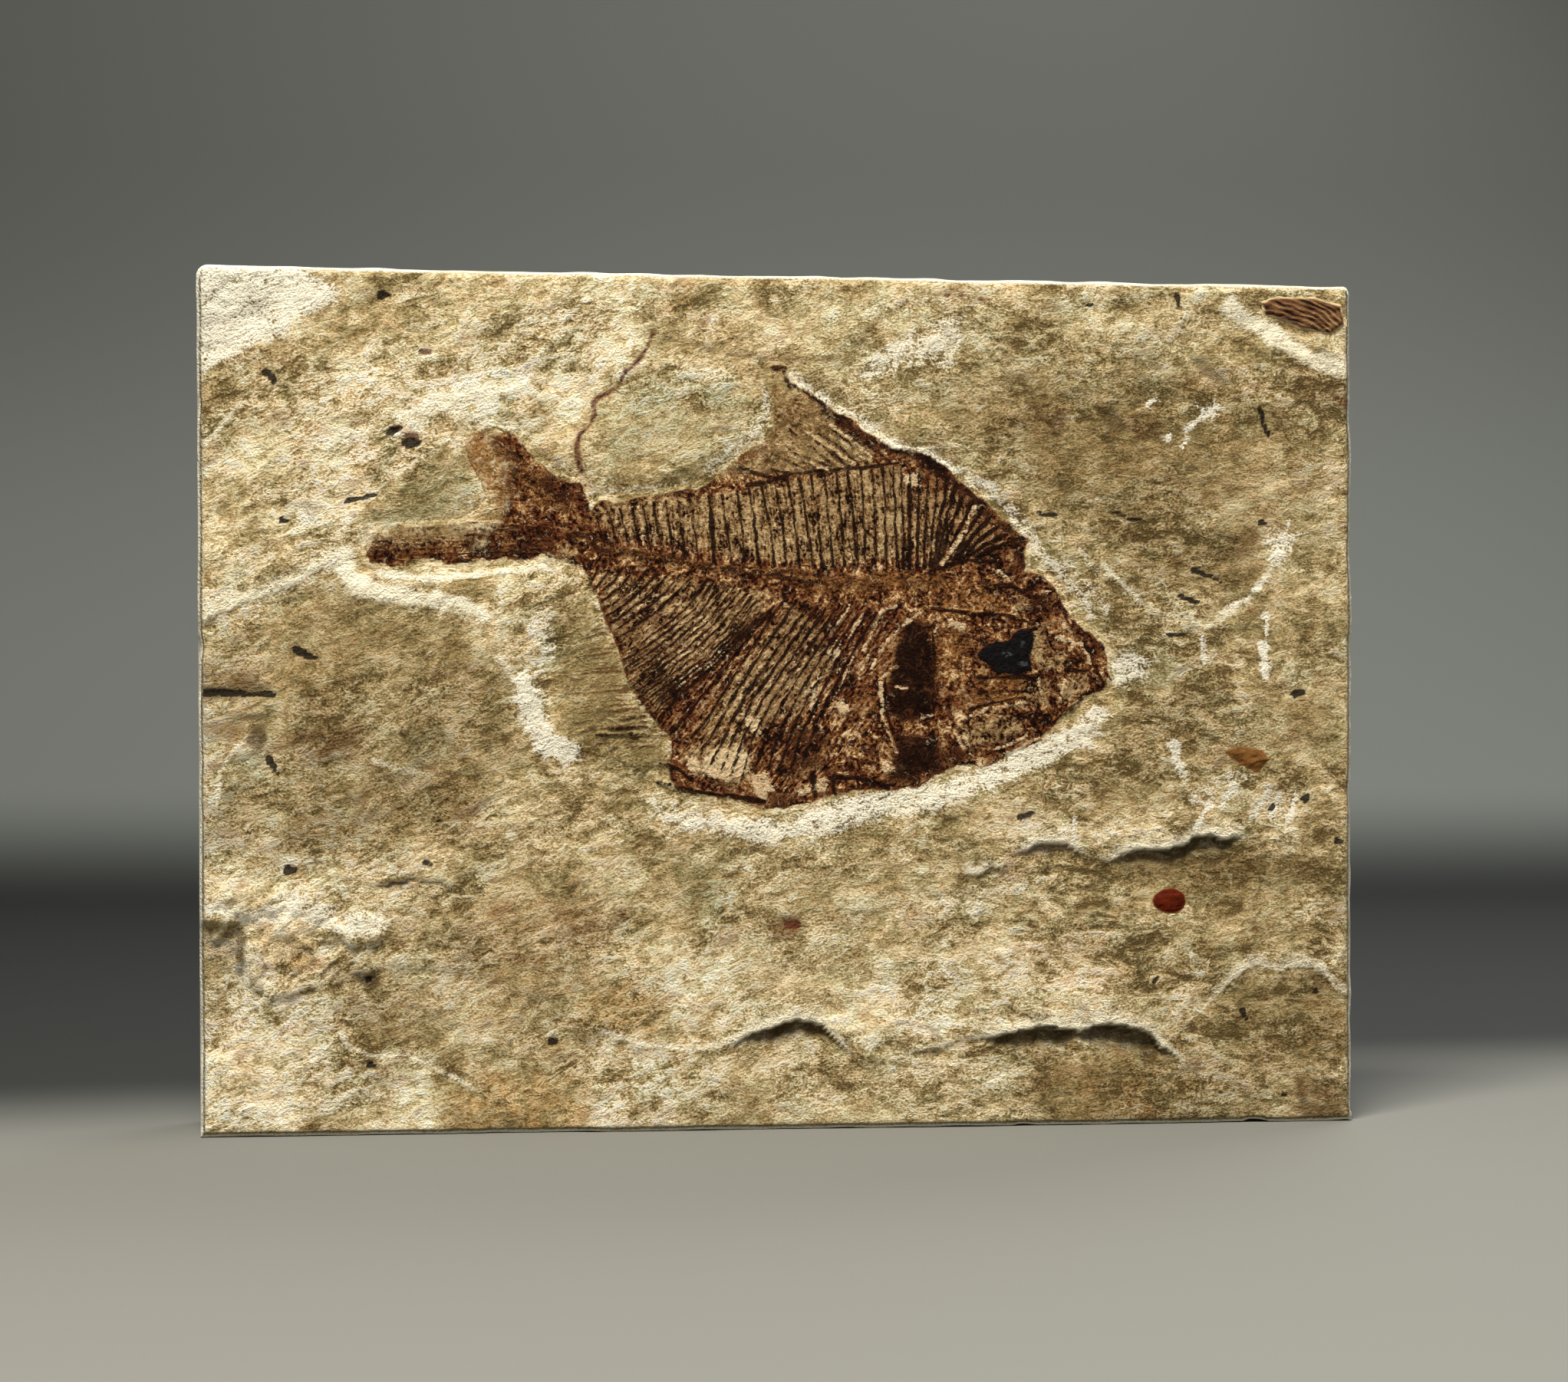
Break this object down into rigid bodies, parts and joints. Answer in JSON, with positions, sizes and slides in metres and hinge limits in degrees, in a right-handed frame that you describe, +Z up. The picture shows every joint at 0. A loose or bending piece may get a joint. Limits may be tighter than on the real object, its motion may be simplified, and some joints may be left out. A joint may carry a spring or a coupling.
{
  "type": "fossil fish slab",
  "caption": "Sawn block of bedded limestone standing on its long edge, with a deep-bodied fossil fish and loose scales lying in its split front face.",
  "frame": {"origin": "middle of the sawn base that the slab stands on", "axes": "+X to the right along the slab, the way the fish faces; +Y from the split front face to the sawn back; +Z up"},
  "size_m": [0.1203, 0.018, 0.0881],
  "materials": {
    "limestone": "matt, split and scraped front, sawn sides and back",
    "fish_bone": "matt brown film with darker, slightly glossy bone",
    "corner_bone": "matt ridged bone",
    "red_scale_bone": "slightly glossy enamel",
    "amber_scale_bone": "slightly glossy enamel"
  },
  "bodies": {
    "root": {"limestone_slab": "limestone", "fossil_fish": "fish_bone", "corner_fossil": "corner_bone", "red_scale": "red_scale_bone", "amber_scale": "amber_scale_bone"}
  },
  "joints": []
}
